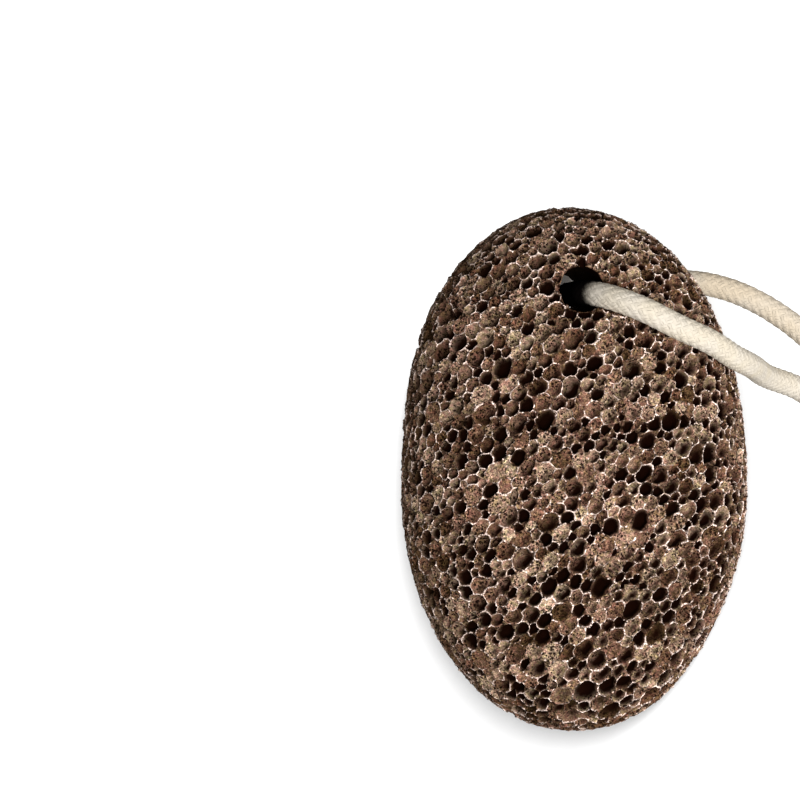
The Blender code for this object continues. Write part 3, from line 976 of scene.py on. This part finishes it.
def knot_strand(side):
    """One strand of the knot, side -1 for the front strand and +1 for the back one.

    It comes in on a slant, turns through the knot, and ends in a tail straight ahead that comes
    down to the floor and splays a little from the other.
    """
    ahead = level_way(KNOT_HEADING)
    outside = np.array([ahead[1], -ahead[0], 0.0])
    up = np.array([0.0, 0.0, 1.0])
    place = np.array([*KNOT_PLACE, 0.0])

    slant = math.radians(LEAD_SLANT)
    inward = math.cos(slant) * ahead - math.sin(slant) * outside
    beside = math.cos(slant) * outside + math.sin(slant) * ahead
    lead = place + np.outer((-KNOT_LEAD, -KNOT_LEAD / 2), inward)
    lead += LAID * up - side * STRANDS_APART / 2 * beside

    splay = STRANDS_APART / 2 * (1 + TAIL_SPLAY * TAIL_SHARES)
    tail = place + np.outer(TAIL_SHARES * TAIL_LENGTH, ahead) + np.outer(TAIL_HEIGHTS, up)
    tail += side * np.outer(splay, outside)
    return np.concatenate([lead, knot_turns(side, ahead, outside, up), tail])


def strand(route, side):
    """One strand's whole middle line, and the index on it where the knot begins."""
    knot = knot_strand(side)
    line = smooth_curve(np.concatenate([np.array(route), knot]))
    line[:, 2] = np.maximum(line[:, 2], LAID)
    start = int(np.argmin(np.linalg.norm(line - knot[0], axis=1)))
    return line, start


def carried_frames(line):
    """Directions along and across a line that turn with it and never twist round it.

    Each point first gets any two directions across the line. The angle by which they differ from
    the point before's, carried over by the shortest turn, is summed along the line and taken off.
    """
    along = unit(np.gradient(line, axis=0))
    helper = np.eye(3)[np.argmin(np.abs(along), axis=1)]
    one = unit(np.cross(along, helper))
    two = np.cross(along, one)
    before, after = along[:-1], along[1:]
    axis = np.cross(before, after)
    cosine = np.sum(before * after, axis=1, keepdims=True)
    carried = (
        one[:-1] * cosine
        + np.cross(axis, one[:-1])
        + axis * np.sum(axis * one[:-1], axis=1, keepdims=True) / (1 + cosine)
    )
    turn = np.arctan2(np.sum(carried * two[1:], axis=1), np.sum(carried * one[1:], axis=1))
    turn = np.concatenate([[0.0], np.cumsum(turn)])[:, None]
    first = np.cos(turn) * one + np.sin(turn) * two
    return along, first, np.cross(along, first)


def tube_points(line, radius, frames=None):
    """Points round a line, at line + radius * (cos(angle) * first + sin(angle) * second).

    The directions first and second come from the line's frames, and radius has a row for each of
    its points and a column for each angle.
    """
    _, first, second = frames or carried_frames(line)
    angle = np.linspace(0.0, 2 * math.pi, radius.shape[1], endpoint=False)
    spokes = first[:, None] * np.cos(angle)[:, None] + second[:, None] * np.sin(angle)[:, None]
    return (line[:, None] + radius[:, :, None] * spokes).reshape(-1, 3)


def tube_quads(rows, around):
    """The faces between the rings of a tube, pointing out."""
    row, column = np.meshgrid(np.arange(rows - 1), np.arange(around), indexing="ij")
    here = row * around + column
    beside = row * around + (column + 1) % around
    return np.stack([here, beside, beside + around, here + around], axis=2).reshape(-1, 4)


def cap_fans(rows, around, first_pole, last_pole):
    """The triangles that close a tube's two ends to a pole each."""
    here = np.arange(around)
    beside = (here + 1) % around
    last = (rows - 1) * around
    near = np.stack([beside, here, np.full(around, first_pole)], axis=1)
    far = np.stack([last + here, last + beside, np.full(around, last_pole)], axis=1)
    return np.concatenate([near, far])


def closed_tube_mesh(name, points, around):
    """A tube's mesh, each end closed to a pole in its middle."""
    rows = len(points) // around
    poles = [points[:around].mean(axis=0), points[-around:].mean(axis=0)]
    fans = cap_fans(rows, around, len(points), len(points) + 1)
    return new_mesh(name, np.concatenate([points, poles]), tube_quads(rows, around), fans)


def braid_radius(run, around, looks):
    """The radius over a braid, at each distance run along it and each angle round it.

    With u crossings along the cord and v strands round it, v + u and v - u number the strands that
    lean each way. A strand's back is a half sine across its width, and sinks where it goes under.
    """
    u = run / looks.crossing_length
    v = np.arange(around) / around * looks.strands
    one, two = v[None, :] + u[:, None], v[None, :] - u[:, None]
    shows_one = (np.floor(one) + np.floor(two)) % 2 < 0.5
    across = np.where(shows_one, one, two) % 1.0
    along = np.where(shows_one, two, one) % 1.0
    back = np.sin(math.pi * across) ** STRAND_BACK
    height = back * (1 - STRAND_SINK + STRAND_SINK * np.sin(math.pi * along))
    return CORD_DIAMETER / 2 - looks.relief + looks.relief * height


def braided_tube(name, line, frames, run, around, looks):
    """A braided tube along a line. run is each point's distance from where the braid starts.

    Its UV map gives crossings along it and strands round it. In the column of faces that closes
    the tube, the strands at the first angle are counted on past a full turn.
    """
    radius = braid_radius(run, around, looks)
    radius += np.random.default_rng(around).normal(0.0, looks.fuzz, radius.shape)
    mesh = closed_tube_mesh(name, tube_points(line, radius, frames), around)
    rows = len(line)
    corners = read(mesh.loops, "vertex_index", kind=np.int32)[:, 0]
    u = run[np.minimum(corners // around, rows - 1)] / looks.crossing_length
    column = corners % around
    v = column / around * looks.strands
    quads = column[: 4 * (rows - 1) * around].reshape(-1, 4)
    closing = quads.max(axis=1) - quads.min(axis=1) > around / 2
    v[: quads.size][np.repeat(closing, 4) & (quads.ravel() == 0)] += looks.strands
    layer = mesh.uv_layers.new(name="braid")
    layer.uv.foreach_set("vector", np.stack([u, v], axis=1).astype(np.float32).ravel())
    return mesh


def cut_strand(route, side, step):
    """A strand's line, carried frames and distances from the knot, in its free and tied parts."""
    line, start = strand(route, side)
    skip = max(1, round(step / CURVE_STEP))
    frames = carried_frames(line)
    run = CURVE_STEP * (np.arange(len(line)) - start)
    parts = slice(0, start + 1, skip), slice(start, len(line), skip)
    return [(line[part], tuple(way[part] for way in frames), run[part]) for part in parts]


def yarn_lines(line, frames, looks, seed):
    """The middle lines of a tuft's yarns, with a row for each yarn and a column for each ring.

    A yarn starts a little inside the cord, at a point spread over its section, and runs on along
    it, while it leans out by the square of the distance, the more the farther out it starts.
    """
    rng = np.random.default_rng(seed)
    count = looks.tuft_yarns
    along, first, second = (way[-1] for way in frames)
    angle = rng.uniform(0.0, 2 * math.pi, count)
    out = np.sqrt(rng.uniform(0.0, 1.0, count)) * YARN_SPREAD * CORD_DIAMETER
    spoke = np.cos(angle)[:, None] * first + np.sin(angle)[:, None] * second
    length = rng.uniform(*YARN_LENGTHS, count) * looks.tuft_length
    lean = (0.20 + rng.uniform(0.0, 0.45, count)) * out / out.max()
    t = np.linspace(0.0, 1.0, YARN_RINGS)
    path = line[-1] - YARN_ROOT * along + spoke[:, None] * out[:, None, None]
    path = path + along * (length[:, None] * t)[:, :, None]
    path += spoke[:, None] * (lean[:, None] * length[:, None] * t**2)[:, :, None]
    path[:, :, 2] = np.maximum(path[:, :, 2], YARN_LOWEST)
    return path


def tuft(line, frames, looks, seed):
    """The points, quads and end triangles of a tail's frayed end: thin yarns that fan out.

    Each yarn is a tapering tube, and all of its rings lie flat across the cord's cut end.
    """
    path = yarn_lines(line, frames, looks, seed)
    count, rings, sides = len(path), YARN_RINGS, YARN_SIDES
    along, first, second = (way[-1] for way in frames)
    turn = np.linspace(0.0, 2 * math.pi, sides, endpoint=False)
    ring = np.cos(turn)[:, None] * first + np.sin(turn)[:, None] * second
    thick = looks.yarn_width / 2 * (1 - YARN_TAPER * np.linspace(0.0, 1.0, rings))
    points = path[:, :, None] + ring[None, None] * thick[None, :, None, None]
    poles = np.stack([path[:, 0], path[:, -1] + YARN_TIP * along], axis=1)
    own = np.concatenate([points.reshape(count, -1, 3), poles], axis=1)
    offset = (np.arange(count) * own.shape[1])[:, None, None]
    quads = (tube_quads(rings, sides)[None] + offset).reshape(-1, 4)
    fans = (cap_fans(rings, sides, rings * sides, rings * sides + 1)[None] + offset).reshape(-1, 3)
    return own.reshape(-1, 3), quads, fans


def joined_meshes(name, meshes):
    """Several meshes as one, with their UV maps."""
    whole = bmesh.new()
    for mesh in meshes:
        whole.from_mesh(mesh)
        bpy.data.meshes.remove(mesh)
    result = bpy.data.meshes.new(name)
    whole.to_mesh(result)
    whole.free()
    return result


def knot_mesh(strands, looks):
    """The knot's two strands, each with a tuft at the end of its tail."""
    meshes = []
    for seed, (_, (line, frames, run)) in enumerate(strands):
        meshes.append(braided_tube("tied", line, frames, run, TIED_SIDES, looks))
        meshes.append(new_mesh("tuft", *tuft(line, frames, looks, seed)))
        meshes[-1].uv_layers.new(name="braid")
    mesh = joined_meshes("knot_looks", meshes)
    mesh.shade_smooth()
    return mesh


def free_mesh(name, strand_part, warm_light_share, looks):
    """A free strand, painted with shade in the hole and with warm light away from the knot, to a
    share from 0 to 1.
    """
    line, frames, run = strand_part
    mesh = braided_tube(name, line, frames, run, FREE_SIDES, looks)
    # Painted shade along the part inside the hole, and painted warm light away from the knot.
    left_in_hole = looks.hole_shade_length - (run - run[0])
    soiled = eased(left_in_hole, -looks.hole_shade_edge, looks.hole_shade_edge)
    yellowed = warm_light_share * eased(-run, 0.0, looks.warm_light_length)
    for attribute, values in (("soiled", soiled), ("yellowed", yellowed)):
        poles = values[[0, -1]]
        set_attribute(mesh, attribute, np.append(np.repeat(values, FREE_SIDES), poles))
    return mesh


# ---------------------------------------------------------------- settings


def setting(kind, **limits):
    """A function that makes one kind of setting from its name, its description and its default."""

    def make(name, description, default):
        return kind(name=name, description=description, default=default, min=0, **limits)

    return make


tone = setting(FloatVectorProperty, subtype="COLOR", size=3, max=1.0)
metres = setting(FloatProperty, unit="LENGTH", precision=5)
fraction = setting(FloatProperty, subtype="FACTOR", max=1.0)
number = setting(FloatProperty)
whole = setting(IntProperty)


class StoneLooks(bpy.types.PropertyGroup):
    """The pits and colours of the stone."""

    pit_count: whole("Pits", "How many bubble pits cover the stone", 2050)
    pit_radius: metres("Pit radius", "Mean radius of the pits' discs before they press", 0.00156)
    pit_size_spread: fraction("Pit size spread", "Spread of the logarithm of the pit sizes", 0.23)
    coarse_underside: fraction("Coarse underside", "How much larger the pits are underneath", 0.45)
    small_end: fraction("Small end", "How much smaller the pits are round the hole", 0.20)
    pit_stretch: number("Grain", "How drawn out the pits are", 1.30)
    packing_steps: whole("Packing", "Steps that spread the pits", 120)
    crest_wander: fraction("Crest wander", "How crooked the crests are", 0.13)
    proud: metres("Crest height", "How far the crests stand out of the plain form", 0.00015)
    ridge_width: metres("Ridge width", "Width of the crest between two pits", 0.00010)
    lip_fill: fraction("Lip fill", "Size of a pit's round mouth in its cell", 0.95)
    lean: fraction("Lean", "How far a pit's floor lies aside, as a share of its radius", 0.36)
    # Painted shade on the side that a pit leans to.
    painted_lee_shade: fraction("One-sided depth", "How much darker the side is that a pit leans to", 0.60)
    dimple_radius: metres("Dimple radius", "Size of the largest dimple at a corner", 0.00045)
    deep_share: fraction("Deep pits", "Share of the pits that are deep", 0.34)
    shallow_share: fraction("Shallow pits", "Share of the pits that are nearly closed", 0.12)
    dimple_share: fraction("Dimples", "Share of the crest's corners with a dimple", 0.40)
    broken_share: fraction("Broken crests", "Share of the crests that are broken down", 0.12)
    pore_spacing: metres("Pore spacing", "Spacing of the pinprick pores", 0.00085)
    grain_spacing: metres("Grain size", "Distance between the grains", 0.00021)
    speckle: number("Speckle", "Doublings from the darkest grain to the palest", 2.2)
    seed: whole("Seed", "Which stone of its kind this is", 11)
    pale_colour: tone("Pale bowls", "Colour of the palest bowls", (0.49, 0.360, 0.245))
    tan_colour: tone("Tan bowls", "Colour of tan bowls", (0.38, 0.260, 0.180))
    brown_colour: tone("Brown bowls", "Colour of brown bowls", (0.21, 0.125, 0.078))
    plum_colour: tone("Plum bowls", "Colour of reddish bowls", (0.17, 0.085, 0.050))
    # The dark bowl colour is also the painted shade low on the stone's sides.
    dark_bowl_and_shade_colour: tone("Dark bowls", "Colour of the darkest bowls", (0.080, 0.045, 0.020))
    red_colour: tone("Red patches", "Colour that reddens patches", (0.30, 0.165, 0.115))
    ridge_colour: tone("Ridges", "Colour of the worn crests", (0.95, 0.75, 0.655))
    # Painted shade in the depths of the pits and the hole, and in the pores.
    painted_shade_colour: tone("Depths", "Colour deep inside pits and pores", (0.0085, 0.0022, 0.0008))
    olive_cast: tone("Olive cast", "What multiplies the olive patches", (0.88, 0.94, 0.70))
    plum_cast: tone("Plum cast", "What multiplies the plum patches", (1.0, 0.80, 0.86))

    def bowl_colours(self):
        """The bowls' colours, from dark to pale."""
        return (
            self.dark_bowl_and_shade_colour, self.plum_colour, self.brown_colour, self.tan_colour, self.pale_colour
        )


class CordLooks(bpy.types.PropertyGroup):
    """The braid of the cord."""

    strands: whole("Strands", "Strands that lean each way round it", 8)
    yarns: number("Yarns", "Parallel yarns in a strand", 2.0)
    crossing_length: metres("Crossing", "Distance between crossings along the cord", 0.0020)
    relief: metres("Relief", "Height of the braid's relief", 0.00020)
    fuzz: metres("Fuzz", "Unevenness of the surface", 0.00003)
    grid: metres("Grid", "Spacing of the mesh along the cord", 0.00025)
    tuft_yarns: whole("Tuft yarns", "Loose yarns at each tail's end", 46)
    tuft_length: metres("Tuft length", "Length of the loose yarns", 0.0050)
    yarn_width: metres("Yarn width", "Thickness of one yarn", 0.00050)
    clean_colour: tone("Cotton", "Colour of clean cotton", (0.685, 0.622, 0.530))
    warm_colour: tone("Warm cotton", "Colour of its yellower patches", (0.675, 0.600, 0.480))
    # Painted warm light on the strand behind.
    warm_light_colour: tone("Aged cotton", "Colour of the strand behind", (0.675, 0.565, 0.425))
    # Painted shade between the yarns.
    gap_shade_colour: tone("Gaps", "Colour between the yarns", (0.42, 0.37, 0.28))
    # Painted shade, near black, on a strand inside the hole: its colour, its length and its fade.
    hole_shade_colour: tone("Stain", "Colour where lava dust stains it", (0.0040, 0.0025, 0.0022))
    hole_shade_length: metres("Stained length", "Stained part of a strand in the hole", 0.0154)
    hole_shade_edge: metres("Stain edge", "Half of the length over which the stain fades", 0.0025)
    # Distance over which the painted warm light grows from the knot.
    warm_light_length: metres("Aging length", "Distance from the knot to full yellowing", 0.030)


class StageLooks(bpy.types.PropertyGroup):
    """The floor and the lights."""

    floor_colour: tone("Floor", "Colour of the floor", (0.92, 0.92, 0.92))
    key_light: number("Key light", "Power of the light overhead", 7.6)
    right_light: number("Right light", "Power of the light on the right", 4.2)
    floor_light: number("Floor light", "Power of the light on the floor", 48.0)
    sky: number("Surroundings", "Brightness of the surroundings", 0.24)


# ---------------------------------------------------------------- operators


class PUMICE_OT_camera(bpy.types.Operator):
    """Makes the camera, which looks down on the stone"""

    bl_idname = "pumice.camera"
    bl_label = "Make the Camera"

    def execute(self, context):
        data = bpy.data.cameras.new("camera")
        data.lens = LENS
        data.sensor_width = SENSOR
        data.clip_start = 0.05
        tilt = math.radians(CAMERA_TILT)
        right = np.array([math.cos(tilt), 0.0, math.sin(tilt)])
        back = np.array([-math.sin(tilt), 0.0, math.cos(tilt)])
        up = np.array([0.0, 1.0, 0.0])
        per_pixel = CAMERA_DISTANCE * SENSOR / LENS / FRAME_SIDE
        aside, below = (np.array(CAMERA_AIM_PIXEL) - FRAME_SIDE / 2) * per_pixel
        camera = add_object("camera", data)
        camera.location = CAMERA_AIM + back * CAMERA_DISTANCE - right * aside + up * below
        camera.rotation_euler = (0.0, -tilt, 0.0)
        context.scene.camera = camera
        return {"FINISHED"}


class PUMICE_OT_cord(bpy.types.Operator):
    """Makes the cord's two free strands and its knot"""

    bl_idname = "pumice.cord"
    bl_label = "Make the Cord and Its Knot"

    def execute(self, context):
        looks = context.scene.pumice_cord
        cotton = cotton_material(looks)
        front = cut_strand(FRONT_ROUTE, -1, looks.grid)
        back = cut_strand(BACK_ROUTE, 1, looks.grid)
        knot = add_piece("knot", knot_mesh((front, back), looks), cotton, "cotton", "knot")
        # The last number is the share of painted warm light: none on the front strand, full on the
        # strand behind.
        free_strands = (
            ("cord_front", front[0], HOLE_TOP, 0.0),
            ("cord_back", back[0], HOLE_BOTTOM, 1.0),
        )
        for name, strand_part, mouth, warm_light_share in free_strands:
            mesh = free_mesh(name, strand_part, warm_light_share, looks)
            piece = add_piece(name, mesh, cotton, "cotton", "cord")
        return {"FINISHED"}


class PUMICE_OT_stone(bpy.types.Operator):
    """Makes the pitted stone"""

    bl_idname = "pumice.stone"
    bl_label = "Make the Stone"

    def execute(self, context):
        looks = context.scene.pumice_stone
        add_piece("stone", stone_mesh(looks), lava_material(looks), "lava", "stone")
        return {"FINISHED"}


class PUMICE_OT_stage(bpy.types.Operator):
    """Makes the floor, the lights and the surroundings"""

    bl_idname = "pumice.stage"
    bl_label = "Make the Studio"

    def execute(self, context):
        looks = context.scene.pumice_stage
        square = 3.0 * np.array([[-1, -1, 0], [1, -1, 0], [1, 1, 0], [-1, 1, 0]])
        mesh = new_mesh("floor", square, np.array([[0, 1, 2, 3]]))
        pale = Graph("pale_floor").finish(looks.floor_colour, roughness=0.7, specular=0.1)
        mesh.materials.append(pale)
        floor = add_object("floor", mesh)
        floor.visible_diffuse = False
        for name, place, sides, state in LIGHTS:
            light = self.add_light(name, place, sides, getattr(looks, name))
            light.light_linking.receiver_collection = self.light_group(name, floor, state)
        stone = bpy.data.objects["stone_looks"]
        blockers = self.light_group("floor_blockers", stone, "INCLUDE")
        bpy.data.objects["floor_light"].light_linking.blocker_collection = blockers
        context.scene.world = self.surroundings(looks.sky)
        context.scene.view_settings.view_transform = "Standard"
        return {"FINISHED"}

    def surroundings(self, brightness):
        """A world that is white all round."""
        world = bpy.data.worlds.new("surroundings")
        world.use_nodes = True
        background = world.node_tree.nodes["Background"].inputs
        background["Color"].default_value = (1.0, 1.0, 1.0, 1.0)
        background["Strength"].default_value = brightness
        return world

    def add_light(self, name, place, sides, power):
        """A rectangular soft light that faces the stone."""
        data = bpy.data.lights.new(name, "AREA")
        data.shape = "RECTANGLE"
        data.size, data.size_y = sides
        data.energy = power
        light = add_object(name, data)
        light.location = place
        aim = Vector(LIGHTS_AIM) - light.location
        light.rotation_euler = aim.to_track_quat("-Z", "Y").to_euler()
        return light

    def light_group(self, name, obj, state):
        """A collection that tells a light to reach or to pass over an object."""
        group = bpy.data.collections.new(name)
        group.objects.link(obj)
        group.collection_objects[0].light_linking.link_state = state
        return group


class PUMICE_PT_looks(bpy.types.Panel):
    """Lists the pieces and their settings"""

    bl_idname = "PUMICE_PT_looks"
    bl_label = "Pumice Stone"
    bl_space_type = "VIEW_3D"
    bl_region_type = "UI"
    bl_category = "Pumice Stone"

    def draw(self, context):
        for operator in OPERATORS:
            self.layout.operator(operator.bl_idname)
        scene = context.scene
        for group in (scene.pumice_stone, scene.pumice_cord, scene.pumice_stage):
            box = self.layout.box()
            for name in type(group).__annotations__:
                box.prop(group, name)


OPERATORS = (PUMICE_OT_camera, PUMICE_OT_cord, PUMICE_OT_stone, PUMICE_OT_stage)
CLASSES = (StoneLooks, CordLooks, StageLooks, *OPERATORS, PUMICE_PT_looks)


def register():
    """Makes the classes and their settings known to Blender."""
    for cls in CLASSES:
        bpy.utils.register_class(cls)
    bpy.types.Scene.pumice_stone = PointerProperty(type=StoneLooks)
    bpy.types.Scene.pumice_cord = PointerProperty(type=CordLooks)
    bpy.types.Scene.pumice_stage = PointerProperty(type=StageLooks)


def unregister():
    """Takes away what register made."""
    del bpy.types.Scene.pumice_stage
    del bpy.types.Scene.pumice_cord
    del bpy.types.Scene.pumice_stone
    for cls in reversed(CLASSES):
        bpy.utils.unregister_class(cls)


def main():
    """Makes every piece and the stage."""
    register()
    bpy.ops.pumice.camera()
    bpy.ops.pumice.cord()
    bpy.ops.pumice.stone()
    bpy.ops.pumice.stage()


if __name__ == "__main__":
    main()
